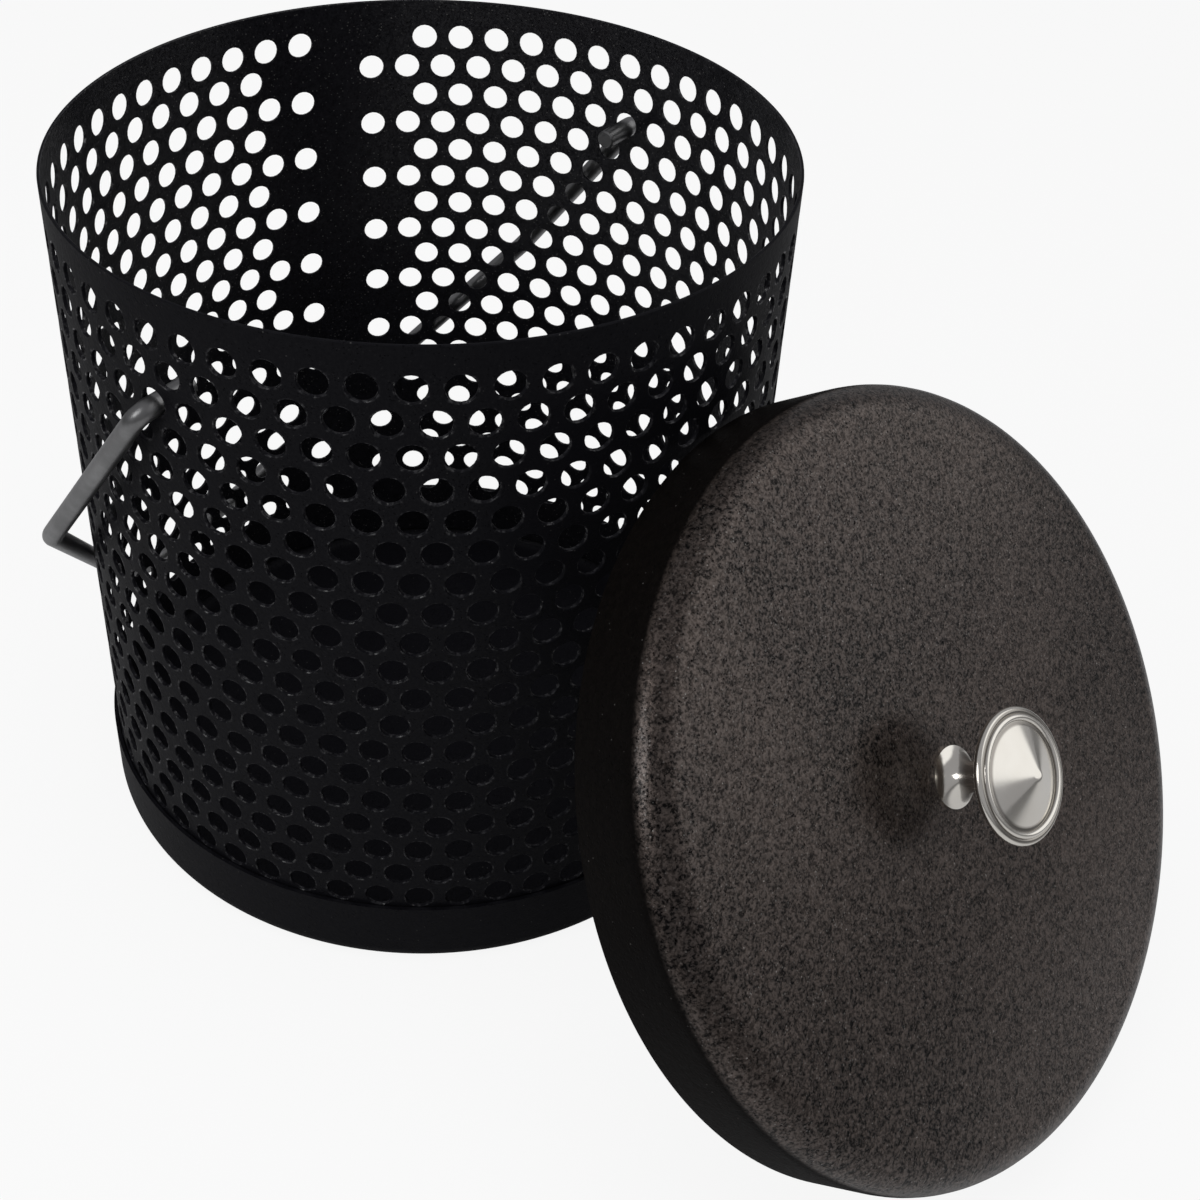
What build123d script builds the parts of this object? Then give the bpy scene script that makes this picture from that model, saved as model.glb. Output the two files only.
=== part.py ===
from build123d import *
import math
import os

os.makedirs("parts", exist_ok=True)

# Stovetop popper bucket with a bail and a lift-off lid.  Millimetres, +Z up.
# Origin: centre of the base pan's underside, on the floor.
# +X runs along the bail's pivot line, the bail hangs toward +Y, the lid leans toward -Y.

# ---- driving dimensions -------------------------------------------------------------
HEIGHT = 224.0          # floor to the rim of the wall
WALL_R = 106.5          # outside radius of the perforated wall
WALL_T = 1.0            # perforated sheet
HOLE_D = 8.2            # round perforations
PITCHES_ROUND = 55.5    # hole pitches that would fill the circle
HOLES_PER_ROW = 53      # holes in a row; the rest is the blank seam strip
ROWS = 19
FIRST_ROW = 12.5        # rim down to the first row of holes
ROW_PITCH = 10.15
ROW_SHIFT = 1.5         # hole pitches that every other row is set round by
FIRST_HOLE_AZ = 39.76   # azimuth of hole 0 in the even rows, degrees
PIVOT_ROW = 2           # row whose holes carry the bail
PIVOT_HOLES = (6, 34)   # holes in that row, right and left

PAN_T = 1.2             # base pan sheet
PAN_FIT = 0.3           # radial room between the wall and the pan's skirt
PAN_TOP = 24.5          # top edge of the pan's skirt
PAN_BEND = 6.5          # outside bend between floor and skirt
EDGE_REST = 0.05        # room left where one piece rests on another

ROD_D = 6.0             # bail rod
ARM_GAP = 2.0           # wall to the near side of the bail's arms
STUB_IN = 12.0          # how far the rod ends stand inside the wall
ROD_CHAMFER = 0.4
ARM_LEN = 76.7          # pivot line to the corner
SIDE_ANGLE = 32.2       # side's turn toward the middle at the corner, degrees
CORNER_BEND = 8.0       # centreline bend radii
PEAK_BEND = 24.8
FLOOR_REST = 0.15       # room under the bail's peak where it rests on the floor

LID_R = 108.4           # outside radius of the lid's skirt
LID_T = 1.0
LID_DEPTH = 28.4
LID_BEND = 11.2
LID_AZ = -93.7          # direction the lid leans toward, degrees
LID_EL = 35.73          # upward slope of the lid's outward normal, degrees
LID_CLEAR = 0.3         # room between the lid's edge and the wall, and the floor

KNOB_FOOT_R = 8.5
KNOB_NECK_R = 4.0
KNOB_RIM_R = 18.0
KNOB_RIM_Z = 22.5       # face of the lid to the rim of the knob
KNOB_TIP_Z = 28.0
KNOB_FOOT_EDGE = 0.9
KNOB_NECK_Z = 7.5       # where the foot's flare ends
KNOB_FLARE = 7.0        # radius of that flare
KNOB_UNDER_Z = 11.5     # where the disc's underside starts
KNOB_BEAD = 1.9         # width of each bead of the rim
KNOB_BEAD_RISE = 0.75   # how far the second bead stands up
KNOB_TROUGH = 0.8       # width of the trough inside the beads
KNOB_TROUGH_RISE = 0.1  # from the trough's outer edge to its inner edge
KNOB_EDGE = 2.4         # thickness of the rim
SCREW_D = 4.0           # screw that holds the knob
SCREW_DEPTH = 11.0      # length of its shank inside the knob
SCREW_FIT = 0.05        # radial room in the knob's threaded bore
SCREW_CLEAR = 0.3       # radial room in the lid's hole
BORE_END = 1.0          # how much deeper the knob's bore is than the shank
HEAD_R = 4.2            # screw's head: radius, height, straight part of its side
HEAD_H = 2.6
HEAD_SIDE = 1.04
HEAD_SLOPE = 1.3        # how far the head narrows
HEAD_ROUND = 0.6
CROSS_L = 3.99          # cross recess: length, width, depth
CROSS_W = 1.008
CROSS_DEPTH = 1.43

# ---- shared values ------------------------------------------------------------------
rod_r = ROD_D / 2
hole_step = 360.0 / PITCHES_ROUND
seam_pitches = PITCHES_ROUND - HOLES_PER_ROW + 1
row_turn = FIRST_HOLE_AZ + seam_pitches / 2 * hole_step
pan_r = WALL_R + PAN_FIT + PAN_T
bend_in = PAN_BEND - PAN_T
bend_x = pan_r - PAN_BEND
wall_foot = PAN_BEND - math.sqrt(bend_in**2 - (WALL_R - bend_x) ** 2) + EDGE_REST

pivot_az = [math.radians(FIRST_HOLE_AZ - n * hole_step) for n in PIVOT_HOLES]
pivot_y = WALL_R * sum(math.sin(az) for az in pivot_az) / 2
pivot_z = HEIGHT - FIRST_ROW - PIVOT_ROW * ROW_PITCH - (HOLE_D / 2 - rod_r - EDGE_REST)
arm_x = WALL_R + ARM_GAP + rod_r
stub_bend = arm_x - WALL_R          # the rod is straight again where it enters the wall
side = math.radians(SIDE_ANGLE)
peak_sharp = ARM_LEN + arm_x / math.tan(side)
peak_t = peak_sharp - PEAK_BEND * (1 / math.sin(side) - 1)
hang = math.asin((pivot_z - rod_r - FLOOR_REST) / peak_t)

lid_az, lid_el = math.radians(LID_AZ), math.radians(LID_EL)
lid_out = Vector(
    math.cos(lid_el) * math.cos(lid_az), math.cos(lid_el) * math.sin(lid_az), math.sin(lid_el)
)
edge_reach = WALL_R + LID_CLEAR + LID_R * math.sin(lid_el)
edge_centre = Vector(
    edge_reach * math.cos(lid_az),
    edge_reach * math.sin(lid_az),
    LID_R * math.cos(lid_el) + LID_CLEAR,
)
face_centre = edge_centre + lid_out * LID_DEPTH
across = Vector(-math.sin(lid_az), math.cos(lid_az), 0)
# The lid's pieces are drawn upright, with +Z out of its face, and then placed here.
lid_place = Plane(origin=face_centre, x_dir=across, z_dir=lid_out).location

# ---- perforated wall ----------------------------------------------------------------
# One band of sheet carries one row of holes; the bands stack into the wall.
punch_len = 6 * WALL_T  # well past both faces of the sheet

with BuildPart() as hole_band:
    with BuildSketch():
        Circle(WALL_R)
        Circle(WALL_R - WALL_T, mode=Mode.SUBTRACT)
    extrude(amount=ROW_PITCH / 2, both=True)
    with PolarLocations(
        WALL_R - WALL_T / 2,
        HOLES_PER_ROW,
        start_angle=-seam_pitches / 2 * hole_step,
        angular_range=-(HOLES_PER_ROW - 1) * hole_step,
        endpoint=True,
    ):
        with Locations(Location((0, 0, 0), (0, 90, 0))):
            Cylinder(HOLE_D / 2, punch_len, mode=Mode.SUBTRACT)

rows_top = HEIGHT - FIRST_ROW + ROW_PITCH / 2
rows_foot = rows_top - ROWS * ROW_PITCH

with BuildPart() as perforated_wall:
    with BuildSketch(Plane.XY.offset(rows_top)):
        Circle(WALL_R)
        Circle(WALL_R - WALL_T, mode=Mode.SUBTRACT)
    extrude(amount=HEIGHT - rows_top)
    with BuildSketch(Plane.XY.offset(wall_foot)):
        Circle(WALL_R)
        Circle(WALL_R - WALL_T, mode=Mode.SUBTRACT)
    extrude(amount=rows_foot - wall_foot)
    with Locations(
        [
            Location(
                (0, 0, HEIGHT - FIRST_ROW - row * ROW_PITCH),
                (0, 0, row_turn + (row % 2) * ROW_SHIFT * hole_step),
            )
            for row in range(ROWS)
        ]
    ):
        add(hole_band.part, clean=False)
perforated_wall.part.label = "perforated_wall"
export_step(perforated_wall.part, "parts/perforated_wall.step", write_pcurves=False)

# ---- base pan -----------------------------------------------------------------------
with BuildPart() as base_pan:
    with BuildSketch(Plane.XZ):
        with BuildLine():
            Polyline((bend_x, 0), (0, 0), (0, PAN_T), (bend_x, PAN_T))
            RadiusArc((bend_x, PAN_T), (pan_r - PAN_T, PAN_BEND), -bend_in)
            Polyline(
                (pan_r - PAN_T, PAN_BEND), (pan_r - PAN_T, PAN_TOP), (pan_r, PAN_TOP), (pan_r, PAN_BEND)
            )
            RadiusArc((pan_r, PAN_BEND), (bend_x, 0), PAN_BEND)
        make_face()
    revolve(axis=Axis.Z)
base_pan.part.label = "base_pan"
export_step(base_pan.part, "parts/base_pan.step")

# ---- bail ---------------------------------------------------------------------------
bail_plane = Plane(
    origin=(0, pivot_y, pivot_z), x_dir=(1, 0, 0), z_dir=(0, math.sin(hang), math.cos(hang))
)
stub_x = WALL_R - WALL_T - STUB_IN

with BuildPart() as bail:
    with BuildLine(bail_plane) as bail_path:
        FilletPolyline(
            (-stub_x, 0),
            (-arm_x, 0),
            (-arm_x, ARM_LEN),
            (0, peak_sharp),
            (arm_x, ARM_LEN),
            (arm_x, 0),
            (stub_x, 0),
            radius=(stub_bend, CORNER_BEND, PEAK_BEND, CORNER_BEND, stub_bend),
        )
    with BuildSketch(Plane(origin=bail_path.line @ 0, z_dir=bail_path.line % 0)):
        Circle(rod_r)
    sweep(path=bail_path)
    chamfer(bail.edges().filter_by(GeomType.CIRCLE).group_by(Axis.Z)[-1], ROD_CHAMFER)
bail.part.label = "bail"
export_step(bail.part, "parts/bail.step")

# ---- lid pan ------------------------------------------------------------------------
lid_bend_x = LID_R - LID_BEND
lid_in = LID_BEND - LID_T
lid_hole_r = SCREW_D / 2 + SCREW_CLEAR

with BuildPart() as lid_pan_upright:
    with BuildSketch(Plane.XZ):
        with BuildLine():
            Polyline((lid_bend_x, 0), (lid_hole_r, 0), (lid_hole_r, -LID_T), (lid_bend_x, -LID_T))
            RadiusArc((lid_bend_x, -LID_T), (LID_R - LID_T, -LID_BEND), lid_in)
            Polyline(
                (LID_R - LID_T, -LID_BEND),
                (LID_R - LID_T, -LID_DEPTH),
                (LID_R, -LID_DEPTH),
                (LID_R, -LID_BEND),
            )
            RadiusArc((LID_R, -LID_BEND), (lid_bend_x, 0), -LID_BEND)
        make_face()
    revolve(axis=Axis.Z)
with BuildPart() as lid_pan:
    with Locations(lid_place):
        add(lid_pan_upright.part)
lid_pan.part.label = "lid_pan"
export_step(lid_pan.part, "parts/lid_pan.step")

# ---- knob and its screw -------------------------------------------------------------
bore_r = SCREW_D / 2 + SCREW_FIT
foot_z = EDGE_REST
foot_top = foot_z + KNOB_FOOT_EDGE
bore_top = SCREW_DEPTH + BORE_END
rim_under = KNOB_RIM_Z - KNOB_EDGE
rim_mid = KNOB_RIM_Z - KNOB_EDGE / 2
under_flare = rim_under - KNOB_UNDER_Z
flare_r = KNOB_NECK_R + under_flare
bead_in = KNOB_RIM_R - KNOB_BEAD
bead_mid = bead_in - KNOB_BEAD / 2
bead_top = KNOB_RIM_Z + KNOB_BEAD_RISE
second_in = bead_in - KNOB_BEAD
trough_in = second_in - KNOB_TROUGH
trough_z = KNOB_RIM_Z + KNOB_TROUGH_RISE

with BuildPart() as lid_knob_upright:
    with BuildSketch(Plane.XZ):
        with BuildLine():
            Polyline(
                (0, bore_top),
                (bore_r, bore_top),
                (bore_r, foot_z),
                (KNOB_FOOT_R, foot_z),
                (KNOB_FOOT_R, foot_top),
            )
            # flared foot, straight neck, flared underside
            RadiusArc((KNOB_FOOT_R, foot_top), (KNOB_NECK_R, KNOB_NECK_Z), KNOB_FLARE)
            Line((KNOB_NECK_R, KNOB_NECK_Z), (KNOB_NECK_R, KNOB_UNDER_Z))
            RadiusArc((KNOB_NECK_R, KNOB_UNDER_Z), (flare_r, rim_under), under_flare)
            Line((flare_r, rim_under), (bead_in, rim_under))
            # outer bead, second bead
            ThreePointArc((bead_in, rim_under), (KNOB_RIM_R, rim_mid), (bead_in, KNOB_RIM_Z))
            ThreePointArc((bead_in, KNOB_RIM_Z), (bead_mid, bead_top), (second_in, KNOB_RIM_Z))
            # trough and pointed middle
            Polyline((second_in, KNOB_RIM_Z), (trough_in, trough_z), (0, KNOB_TIP_Z), (0, bore_top))
        make_face()
    revolve(axis=Axis.Z)
with BuildPart() as lid_knob:
    with Locations(lid_place):
        add(lid_knob_upright.part)
lid_knob.part.label = "lid_knob"
export_step(lid_knob.part, "parts/lid_knob.step")

head_z = -LID_T - EDGE_REST
with BuildPart() as knob_screw_upright:
    with BuildSketch(Plane.XZ):
        with BuildLine():
            Polyline(
                (0, head_z - HEAD_H),
                (0, SCREW_DEPTH),
                (SCREW_D / 2, SCREW_DEPTH),
                (SCREW_D / 2, head_z),
                (HEAD_R, head_z),
                (HEAD_R, head_z - HEAD_SIDE),
                (HEAD_R - HEAD_SLOPE, head_z - HEAD_H),
                (0, head_z - HEAD_H),
            )
        make_face()
    revolve(axis=Axis.Z)
    fillet(knob_screw_upright.edges().filter_by(GeomType.CIRCLE).sort_by(Axis.Z)[1:2], HEAD_ROUND)
    # cross recess in the head
    with BuildSketch(Plane.XY.offset(head_z - HEAD_H)):
        Rectangle(CROSS_L, CROSS_W)
        Rectangle(CROSS_W, CROSS_L)
    extrude(amount=CROSS_DEPTH, mode=Mode.SUBTRACT)
with BuildPart() as knob_screw:
    with Locations(lid_place):
        add(knob_screw_upright.part)
knob_screw.part.label = "knob_screw"
export_step(knob_screw.part, "parts/knob_screw.step")

if __name__ == "__main__":
    print("pivot", pivot_y, pivot_z, "hang", math.degrees(hang), "arm_x", arm_x, "peak", peak_t)
    print("lid face", face_centre, "out", lid_out, "edge centre", edge_centre)
    print("pan_r", pan_r, "wall foot", wall_foot, "row turn", row_turn)
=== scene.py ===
import math

import bmesh
import bpy
from mathutils import Matrix, Vector


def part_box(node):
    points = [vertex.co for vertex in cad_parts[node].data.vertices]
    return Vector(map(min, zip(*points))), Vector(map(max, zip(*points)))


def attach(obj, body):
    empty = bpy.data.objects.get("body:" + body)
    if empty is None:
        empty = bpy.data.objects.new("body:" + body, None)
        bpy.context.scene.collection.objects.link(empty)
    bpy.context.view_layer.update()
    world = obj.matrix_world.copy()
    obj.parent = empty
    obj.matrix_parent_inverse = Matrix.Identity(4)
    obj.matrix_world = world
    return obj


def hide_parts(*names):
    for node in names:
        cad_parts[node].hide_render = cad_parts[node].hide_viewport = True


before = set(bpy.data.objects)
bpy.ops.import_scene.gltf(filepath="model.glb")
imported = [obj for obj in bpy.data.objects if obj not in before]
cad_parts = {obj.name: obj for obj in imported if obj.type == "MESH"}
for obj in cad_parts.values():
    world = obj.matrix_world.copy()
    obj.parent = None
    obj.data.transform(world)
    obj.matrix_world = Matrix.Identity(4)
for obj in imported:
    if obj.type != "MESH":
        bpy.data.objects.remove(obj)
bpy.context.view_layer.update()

# ---- Camera --------------------------------------------------------------------------
# Stands about half a metre off, above the bucket's front left, looking down at the rim
# and across the face of the leaning lid.
camera = bpy.data.objects.new("camera", bpy.data.cameras.new("camera"))
bpy.context.collection.objects.link(camera)
camera_place = Matrix.Translation((-0.35636, -0.29955, 0.44954))
looking = Vector((0.63514, 0.46954, -0.61329)).normalized()
rightward = Vector((0.60866, -0.79310, 0.02313)).normalized()
upward = rightward.cross(looking).normalized()
camera.matrix_world = camera_place @ Matrix(
    (
        (rightward.x, upward.x, -looking.x, 0),
        (rightward.y, upward.y, -looking.y, 0),
        (rightward.z, upward.z, -looking.z, 0),
        (0, 0, 0, 1),
    )
)
# in pixels: the picture's width, the lens's focal length, and how far its axis is off centre
picture_width, focal_length, axis_left, axis_above = 1200, 1795, 84, 74
camera.data.sensor_width = 36
camera.data.lens = focal_length / picture_width * camera.data.sensor_width
camera.data.shift_x = axis_left / picture_width
camera.data.shift_y = -axis_above / picture_width
camera.data.clip_start = 0.01
bpy.context.scene.camera = camera


# ---- Perforated wall -----------------------------------------------------------------
# A strip of 1 mm steel with 8 mm round holes on a 12 mm staggered pitch, rolled into a
# drum and painted.  The punch leaves the outer rim of each hole slightly rounded, and
# paint gathers there.  The ends of the strip meet in a blank seam without holes.
class Socket:
    """A shader value that can be used in plain Python sums."""

    def __init__(self, recipe, output):
        self.recipe, self.output = recipe, output

    def maths(self, operation, *values):
        return self.recipe.node("ShaderNodeMath", {"operation": operation}, list(values))

    def __add__(self, other):
        return self.maths("ADD", self, other)

    def __sub__(self, other):
        return self.maths("SUBTRACT", self, other)

    def __rsub__(self, other):
        return self.maths("SUBTRACT", other, self)

    def __mul__(self, other):
        return self.maths("MULTIPLY", self, other)

    __radd__, __rmul__ = __add__, __mul__

    def step(self, low, high):
        """0 below low, 1 above high, smooth between."""
        settings = {"interpolation_type": "SMOOTHSTEP"}
        values = {"Value": self, "From Min": low, "From Max": high}
        return self.recipe.node("ShaderNodeMapRange", settings, values)

    def clamp(self):
        return self.recipe.node("ShaderNodeClamp", {}, {"Value": self})


class Recipe:
    """A node tree, written down as sums and mixes."""

    def __init__(self, tree):
        self.tree = tree

    def node(self, kind, settings, values, output=0):
        made = self.tree.nodes.new(kind)
        for setting, value in settings.items():
            setattr(made, setting, value)
        for socket, value in enumerate(values) if isinstance(values, list) else values.items():
            if isinstance(value, Socket):
                self.tree.links.new(value.output, made.inputs[socket])
            else:
                made.inputs[socket].default_value = value
        return Socket(self, made.outputs[output])

    def vector_maths(self, operation, first, second, output=0):
        return self.node("ShaderNodeVectorMath", {"operation": operation}, [first, second], output)

    def mix(self, amount, first, second):
        """Mixes two colours, which go in and come out at the Mix node's colour sockets."""
        colour_a, colour_b, colour_out = 6, 7, 2
        values = {"Factor": amount, colour_a: first, colour_b: second}
        return self.node("ShaderNodeMix", {"data_type": "RGBA"}, values, colour_out)


class Finish(Recipe):
    """One procedural material on the object's own coordinates.  Scales count repeats a metre."""

    def __init__(self, name, **constants):
        self.material = bpy.data.materials.new(name)
        self.material.use_nodes = True
        super().__init__(self.material.node_tree)
        self.shader = self.tree.nodes["Principled BSDF"]
        for socket, value in constants.items():
            self.shader.inputs[socket.replace("_", " ")].default_value = value
        self.place = self.node("ShaderNodeTexCoord", {}, {}, "Object")

    def noise(self, scale, detail=2.0, roughness=0.5):
        values = {"Vector": self.place, "Scale": scale, "Detail": detail, "Roughness": roughness}
        return self.node("ShaderNodeTexNoise", {}, values)

    def dots(self, scale, radius):
        """Round dots, one in each cell of a scattered grid, fading out at radius in metres."""
        values = {"Vector": self.place, "Scale": scale}
        distance = self.node("ShaderNodeTexVoronoi", {}, values, "Distance")
        return 1 - distance.step(0.5 * radius * scale, radius * scale)

    def painted_share(self, attribute):
        """The share that an attribute of the mesh gives each place."""
        return self.node("ShaderNodeAttribute", {"attribute_name": attribute}, {}, "Fac")

    def use(self, socket, value):
        self.tree.links.new(value.output, self.shader.inputs[socket])

    def bump(self, height, depth):
        """Raises the surface by height, whose 0 to 1 stands for depth in metres."""
        values = {"Height": height, "Distance": depth, "Strength": 1.0}
        self.use("Normal", self.node("ShaderNodeBump", {}, values))


def textured_paint(name, dark, light, bright, coat, flake, gloss):
    """Baked-on stove paint: a sandy ground under a broken gloss, with pits and bright flecks.

    bright, coat and flake are the strength of its flecks, of its clear gloss and of its metal
    flake.  gloss takes the paint and gives the share of gloss and flake at each place; the
    ground lightens with that share, so a low share paints shade and a high one paints light.
    """
    paint = Finish(name, Specular_IOR_Level=0.04, Coat_Roughness=0.24, Coat_IOR=1.6)
    share = gloss(paint)
    grain = paint.noise(1250, 2.0, 0.6)
    clumps = paint.noise(520, 3.0, 0.6)
    broad = paint.noise(16, 3.0, 0.5)
    pits = paint.dots(950, 0.00032) * paint.noise(300).step(0.40, 0.58)
    glints = paint.dots(760, 0.00030) * paint.noise(420).step(0.44, 0.56)
    flecks = paint.dots(400, 0.00026) * paint.noise(520).step(0.48, 0.58)
    flecks = flecks * (0.25 + share * 0.75)
    rough = grain.step(0.41, 0.60)

    fleck, pit = (0.62, 0.60, 0.57, 1), (dark[0] * 0.4, dark[1] * 0.4, dark[2] * 0.4, 1)
    # The ground is scaled by the gloss share: painted shade where it is low, painted light where
    # it is high.
    shade = (rough * 0.4 + clumps.step(0.35, 0.65) * 0.4 + broad * 0.6 - 0.25).clamp() * share
    colour = paint.mix(shade, dark, light)
    colour = paint.mix(pits * 0.75, colour, pit)
    # The glints also paint faint highlight dots into the base colour, besides raising the coat.
    colour = paint.mix(glints * share * 0.16, colour, fleck)
    paint.use("Base Color", paint.mix(flecks * bright, colour, fleck))

    roughness = 0.40 - share * 0.20 + grain * 0.16 + clumps * 0.14 - flecks * 0.15
    paint.use("Roughness", roughness.clamp())
    paint.use("Metallic", (share * flake + flecks * 0.6).clamp())
    broken = 0.20 + rough * 0.55 + clumps * 0.35 + glints * 0.6 - pits * 0.7
    paint.use("Coat Weight", (broken.clamp() * share * coat).clamp())
    paint.bump(grain * 0.5 + clumps * 0.8 + flecks * 0.4 - pits * 0.5, 0.00020)
    return paint.material


def piece_of(name, sheet, material):
    """Turns a bmesh into an object with smooth faces that keep their sharp creases."""
    crease = math.radians(35)
    mesh = bpy.data.meshes.new(name)
    for face in sheet.faces:
        face.smooth = True
    for edge in sheet.edges:
        edge.smooth = len(edge.link_faces) == 2 and edge.calc_face_angle() < crease
    sheet.to_mesh(mesh)
    sheet.free()
    piece = bpy.data.objects.new(name, mesh)
    bpy.context.collection.objects.link(piece)
    mesh.materials.append(material)
    return piece


wall_r, wall_t, wall_top = 0.1065, 0.0010, 0.2240
wall_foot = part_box("perforated_wall")[0][2]
edge_round = 0.00025
hole_r, hole_lip, hole_sides = 0.0041, 0.00022, 20
holes, rows = 53, 19
first_row, row_pitch, row_shift = 0.0125, 0.01015, 1.5
hole_step = math.radians(360 / 55.5)
first_hole_turn = math.radians(39.76)

wall = bmesh.new()
edge_gloss = wall.verts.layers.float.new("edge_gloss")
inside = wall.verts.layers.float.new("inside")
tile_x, tile_y = wall_r * hole_step / 2, row_pitch / 2


def widened(edges, change):
    """Extrudes a loop of edges and changes the new loop's vertices."""
    made = bmesh.ops.extrude_edge_only(wall, edges=edges)["geom"]
    for vertex in made:
        if isinstance(vertex, bmesh.types.BMVert):
            change(vertex)
    return [edge for edge in made if isinstance(edge, bmesh.types.BMEdge)]


def onto_circle(radius, height):
    def change(vertex):
        flat = vertex.co.xy.normalized() * radius
        vertex.co = (flat.x, flat.y, height)

    return change


def onto_tile_edge(depth):
    """Spreads a circle onto the tile's outline, whose corners take the points at 36 degrees."""
    corner = 36

    def change(vertex):
        across = math.degrees(math.atan2(abs(vertex.co.y), vertex.co.x))
        side = 1 if vertex.co.y >= 0 else -1
        vertex.co = (
            tile_x * max(-1, min(1, (90 - across) / (90 - corner))),
            tile_y * side * min(1, across / corner, (180 - across) / corner),
            depth,
        )

    return change


# one tile of sheet round one hole, drawn flat: x along the strip, y up, z into the drum
bmesh.ops.create_circle(wall, segments=hole_sides, radius=hole_r + hole_lip, cap_ends=False)
mouth = wall.edges[:]
widened(mouth, onto_tile_edge(0))
lip = widened(mouth, onto_circle(hole_r, hole_lip))
throat = widened(lip, onto_circle(hole_r, wall_t))
widened(throat, onto_tile_edge(wall_t))
for vertex in wall.verts:
    vertex[edge_gloss] = float(vertex.co.xy.length < hole_r + 1.5 * hole_lip)

# the blank part of a row: two and a half pitches of plain sheet, front and back
blank_x = tile_x * 2.5
for depth in (0, wall_t):
    blank = bmesh.ops.create_grid(wall, x_segments=15, y_segments=4, size=1)["verts"]
    for vertex in blank:
        vertex.co = (vertex.co.x * blank_x - tile_x - blank_x, vertex.co.y * tile_y, depth)

# roll the tile and the blank, which both start at the +X direction, and repeat the tile
for vertex in wall.verts:
    vertex[inside] = float(vertex.co.z > wall_t / 2)
    turn, radius = -vertex.co.x / wall_r, wall_r - vertex.co.z
    vertex.co = (radius * math.cos(turn), radius * math.sin(turn), vertex.co.y)
tile_end = hole_step / 2 + 0.00001
tile = {vertex for vertex in wall.verts if math.atan2(vertex.co.y, vertex.co.x) < tile_end}
bmesh.ops.spin(
    wall,
    geom=[face for face in wall.faces if tile.issuperset(face.verts)],
    cent=(0, 0, 0),
    axis=(0, 0, 1),
    angle=-(holes - 1) * hole_step,
    steps=holes - 1,
    use_duplicate=True,
)

# stack the rows, every other one set round, and weld them
top_row = wall.verts[:] + wall.edges[:] + wall.faces[:]
set_round = Matrix.Rotation(row_shift * hole_step, 3, "Z")
for row in range(1, rows):
    copy = bmesh.ops.duplicate(wall, geom=top_row)["geom"]
    copied = [vertex for vertex in copy if isinstance(vertex, bmesh.types.BMVert)]
    bmesh.ops.translate(wall, verts=copied, vec=(0, 0, -row * row_pitch))
    if row % 2:
        bmesh.ops.rotate(wall, verts=copied, cent=(0, 0, 0), matrix=set_round)
bmesh.ops.remove_doubles(wall, verts=wall.verts[:], dist=0.00002)
wall_place = Matrix.Translation((0, 0, wall_top - first_row))
wall_place = wall_place @ Matrix.Rotation(first_hole_turn, 4, "Z")
bmesh.ops.transform(wall, verts=wall.verts[:], matrix=wall_place)


def border(height, radius):
    """The open edges of the sheet at one height and on one side of the strip."""

    def lies_there(vertex):
        off_side = abs(vertex.co.xy.length - radius)
        return abs(vertex.co.z - height) < 0.0001 and off_side < 0.0002

    return [edge for edge in wall.edges if edge.is_boundary and all(map(lies_there, edge.verts))]


# plain sheet above and below the rows, closed over its rounded edges
rows_top = wall_top - first_row + tile_y
rows_foot = rows_top - rows * row_pitch
for rows_end, sheet_end, sense in ((rows_top, wall_top, 1), (rows_foot, wall_foot, -1)):
    ends = []
    for side_r, inward in ((wall_r, 1), (wall_r - wall_t, -1)):
        plain_end = onto_circle(side_r, sheet_end - sense * edge_round)
        rounded_end = onto_circle(side_r - inward * edge_round, sheet_end)
        ends += widened(widened(border(rows_end, side_r), plain_end), rounded_end)
    bmesh.ops.bridge_loops(wall, edges=ends)
bmesh.ops.recalc_face_normals(wall, faces=wall.faces[:])


def edge_gloss_and_painted_inside_light(paint):
    """Nearly matt outside; satin inside, with the ground painted lighter there as painted bounce
    light; glossy where paint gathers round the holes.
    """
    beads = paint.painted_share("edge_gloss").step(0.80, 0.95) * paint.noise(640).step(0.46, 0.60)
    inside_satin_and_painted_light = paint.painted_share("inside").step(0.90, 1.0)
    return (0.06 + beads * 0.7 + inside_satin_and_painted_light * 0.6).clamp()


# The lighter grey is the ground's own tone; inside the drum it is mixed in further, which is
# painted light.
black, ground_grey_and_painted_light = (0.0056, 0.0055, 0.0071, 1), (0.0170, 0.0168, 0.0205, 1)
bucket_paint = textured_paint("bucket_paint", black, ground_grey_and_painted_light, 0.30, 1.0, 0.0, edge_gloss_and_painted_inside_light)
drum = piece_of("wall_drum", wall, bucket_paint)
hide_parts("perforated_wall")
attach(drum, "bucket")


# ---- Base pan ------------------------------------------------------------------------
# A shallow pan pressed from 1.2 mm steel, with a small bend at the floor.  The wall
# stands in it and the pair is painted together.
def pressed_sheet(points, bend, thickness, faces_up, steps):
    """Spins a profile with one rounded corner round Z, and thickens it inward.

    points are the (radius, height) of the outer side from the middle to the edge, and
    faces_up says which way the flat middle faces on that side.
    """
    weld = 0.000005
    sheet = bmesh.new()
    chain = [sheet.verts.new((radius, 0, height)) for radius, height in points]
    for first, second in zip(chain, chain[1:]):
        sheet.edges.new((first, second))
    bmesh.ops.bevel(
        sheet,
        geom=[chain[1]],
        offset=bend,
        offset_type="OFFSET",
        segments=12,
        profile=0.5,
        affect="VERTICES",
        material=-1,
    )
    bmesh.ops.spin(
        sheet,
        geom=sheet.verts[:] + sheet.edges[:],
        cent=(0, 0, 0),
        axis=(0, 0, 1),
        angle=2 * math.pi,
        steps=steps,
        use_merge=True,
    )
    bmesh.ops.remove_doubles(sheet, verts=sheet.verts[:], dist=weld)
    bmesh.ops.recalc_face_normals(sheet, faces=sheet.faces[:])
    middle = min(sheet.faces, key=lambda face: face.calc_center_median().xy.length)
    if (middle.normal.z > 0) != faces_up:
        bmesh.ops.reverse_faces(sheet, faces=sheet.faces[:])
    bmesh.ops.solidify(sheet, geom=sheet.faces[:], thickness=thickness)
    bmesh.ops.remove_doubles(sheet, verts=sheet.verts[:], dist=weld)
    return sheet


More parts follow.
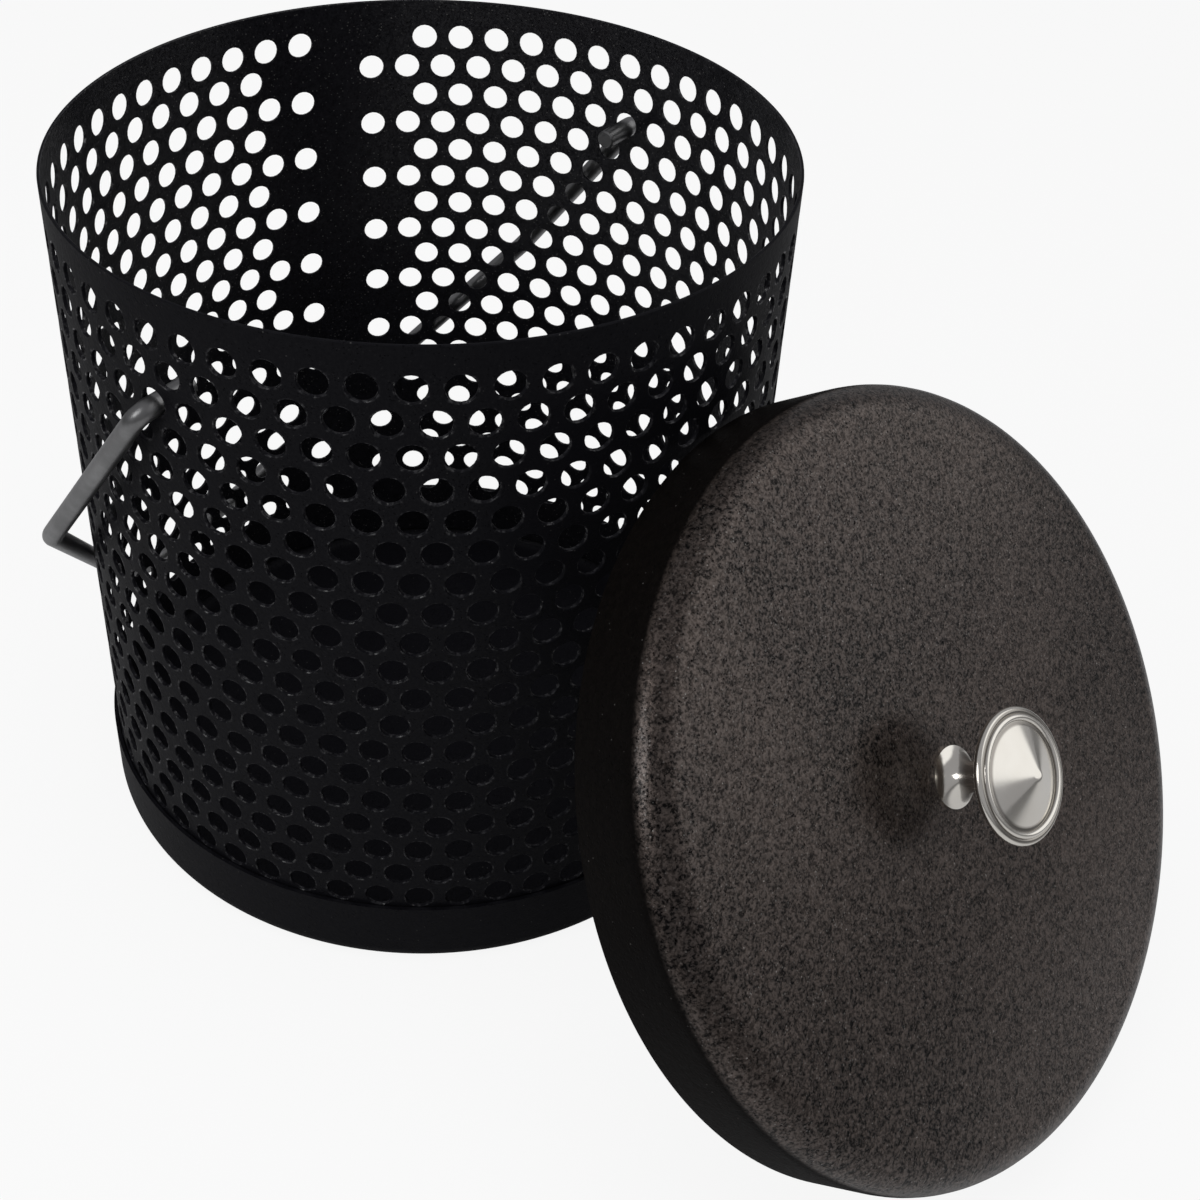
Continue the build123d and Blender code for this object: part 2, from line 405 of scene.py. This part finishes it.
pan_r, pan_t, pan_top, pan_bend = 0.1080, 0.0012, 0.0245, 0.0065
pan_side = [(0, 0), (pan_r, 0), (pan_r, pan_top)]
pan = pressed_sheet(pan_side, pan_bend, pan_t, False, 256)
base = piece_of("base_pan_shell", pan, bucket_paint)
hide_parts("base_pan")
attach(base, "bucket")


# ---- Bail ----------------------------------------------------------------------------
# One length of 6 mm steel rod, bent cold and polished to a satin.  Its ends pass through
# two of the wall's own holes, so it keeps the frame's shape and takes a metal finish.
def finish_kept(node, finish):
    """Gives a node of the frame, whose shape is kept, its finish."""
    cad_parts[node].data.materials.clear()
    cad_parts[node].data.materials.append(finish.material)


steel = Finish("bail_steel", Metallic=1.0)
drawn = steel.noise(1800, 2.0, 0.5)
smears = steel.noise(90, 4.0, 0.6)
dull, worn = (0.20, 0.20, 0.202, 1), (0.31, 0.31, 0.313, 1)
steel.use("Base Color", steel.mix(smears.step(0.35, 0.75), dull, worn))
steel.use("Roughness", (0.24 + drawn * 0.14 + smears * 0.12).clamp())
steel.bump(drawn, 0.000018)
finish_kept("bail", steel)

# ---- Lid -----------------------------------------------------------------------------
# A round pan pressed from 1 mm steel with a wide bend between face and skirt.  It leans
# on the bucket with its open side toward the wall.
lid_r, lid_t, lid_depth, lid_bend = 0.1084, 0.0010, 0.0284, 0.0112
lid_hole_r = 0.0023
lid_out = Vector((-0.052386, -0.810086, 0.583966)).normalized()
lid_face = Vector((-0.0124648, -0.192754, 0.104881))


def off_the_lid(finish):
    """Distance outward from the plane of the lid's face, in metres."""
    offset = finish.vector_maths("SUBTRACT", finish.place, lid_face)
    return finish.vector_maths("DOT_PRODUCT", offset, lid_out, "Value")


def face_gloss_and_painted_skirt_shade(paint):
    """Full gloss on the face; nearly matt and painted near black, a painted shade, from mid-bend
    down the skirt.
    """
    matt_from, gloss_to = -0.0088, -0.0062
    return 0.02 + off_the_lid(paint).step(matt_from, gloss_to) * 0.98


# The skirt takes umber nearly unmixed there, which is painted shade.
umber, earth = (0.0022, 0.0017, 0.0015, 1), (0.140, 0.110, 0.096, 1)
lid_paint = textured_paint("lid_paint", umber, earth, 0.50, 0.5, 0.9, face_gloss_and_painted_skirt_shade)
lid_side = [(lid_hole_r, 0), (lid_r, 0), (lid_r, -lid_depth)]
lid = pressed_sheet(lid_side, lid_bend, lid_t, True, 288)
lid_lean = lid_out.to_track_quat("Z", "Y").to_matrix().to_4x4()
bmesh.ops.transform(lid, verts=lid.verts[:], matrix=Matrix.Translation(lid_face) @ lid_lean)
cover = piece_of("lid_shell", lid, lid_paint)
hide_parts("lid_pan")
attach(cover, "lid")

# ---- Knob and its screw --------------------------------------------------------------
# Turned and nickel plated: a flared foot, a slim neck and a disc with a beaded rim round
# # a pointed middle, with a band of painted shade in a groove of the rim.  Its screw comes through
# the lid from inside.
plate = Finish("knob_plate", Metallic=1.0)
haze = plate.noise(160, 3.0, 0.6)
height = off_the_lid(plate)
# A band round a groove of the disc's rim is painted dark: painted shade.
groove_painted_shade = height.step(0.02242, 0.02255) * (1 - height.step(0.02262, 0.02290))
nickel = plate.mix(haze, (0.84, 0.80, 0.73, 1), (0.93, 0.90, 0.84, 1))
groove_shade_colour = (0.20, 0.18, 0.16, 1)
plate.use("Base Color", plate.mix(groove_painted_shade * 0.7, nickel, groove_shade_colour))
plate.use("Roughness", (0.11 + haze * 0.09).clamp())
plate.bump(plate.noise(900, 2.0), 0.000006)
finish_kept("lid_knob", plate)
finish_kept("knob_screw", plate)


# ---- Floor and light -----------------------------------------------------------------
# A white sheet underneath and a white surround.  Bare metal mirrors the sheet as grey far
# off, and the surround as bright only at the right.  A small lamp stands at the left, and
# a broad one hangs overhead.
def ray_kinds(recipe):
    """Two shares: 1 for rays that see a thing straight or through glass, 1 for mirrored rays."""
    straight, mirrored, through = (
        recipe.node("ShaderNodeLightPath", {}, {}, kind)
        for kind in ("Is Camera Ray", "Is Glossy Ray", "Is Transmission Ray")
    )
    return (straight + through).clamp(), mirrored


floor = bmesh.new()
bmesh.ops.create_grid(floor, x_segments=1, y_segments=1, size=20)
paper = Finish("floor_sheet", Roughness=0.9, Specular_IOR_Level=0.1)
straight, mirrored = ray_kinds(paper)
from_middle = paper.node("ShaderNodeVectorMath", {"operation": "LENGTH"}, [paper.place], "Value")
# Far off, the sheet is painted grey to mirrored rays only, which is a painted dark reflection.
far_off = from_middle.step(0.45, 0.85) * mirrored
paper.use("Base Color", paper.mix(far_off, (0.75, 0.75, 0.75, 1), (0.25, 0.25, 0.25, 1)))
lit = Socket(paper, paper.shader.outputs[0])
glow = paper.node("ShaderNodeEmission", {}, {"Color": (1, 1, 1, 1), "Strength": 1.0})
glowing = (straight * 0.90 + mirrored * 0.05).clamp()
shown = paper.node("ShaderNodeMixShader", {}, [glowing, lit, glow])
paper.tree.links.new(shown.output, paper.tree.nodes["Material Output"].inputs["Surface"])
piece_of("floor", floor, paper.material)

world = bpy.data.worlds.new("studio")
bpy.context.scene.world = world
world.use_nodes = True
studio = Recipe(world.node_tree)
straight, mirrored = ray_kinds(studio)
direction = studio.node("ShaderNodeTexCoord", {}, {}, "Generated")
bright_side = Vector((0.50, -0.60, 0.62)).normalized()
toward_it = studio.vector_maths("DOT_PRODUCT", direction, bright_side, "Value")
dim, bright = (
    studio.node("ShaderNodeBackground", {}, {"Color": colour, "Strength": strength})
    for colour, strength in (((0.30, 0.30, 0.31, 1), 1.0), ((1, 1, 1, 1), 0.95))
)
bright_share = (straight + mirrored * toward_it.step(0.79, 0.87)).clamp()
surround = studio.node("ShaderNodeMixShader", {}, [bright_share, dim, bright])
studio.tree.links.new(surround.output, studio.tree.nodes["World Output"].inputs["Surface"])


def lamp(name, place, toward, size, watts, mirrored):
    light = bpy.data.lights.new(name, "AREA")
    light.shape, light.size, light.energy = "SQUARE", size, watts
    thing = bpy.data.objects.new(name, light)
    bpy.context.collection.objects.link(thing)
    thing.location = place
    aim = Vector(toward) - Vector(place)
    thing.rotation_euler = aim.to_track_quat("-Z", "Y").to_euler()
    thing.visible_glossy = mirrored


lamp("side_lamp", (-0.80, 0.10, 0.66), (-0.1, -0.1, 0.12), 0.40, 1.5, True)
lamp("overhead", (-0.15, -0.1, 1.35), (0, -0.05, 0.1), 0.9, 6.5, False)

bpy.context.scene.view_settings.view_transform = "Standard"
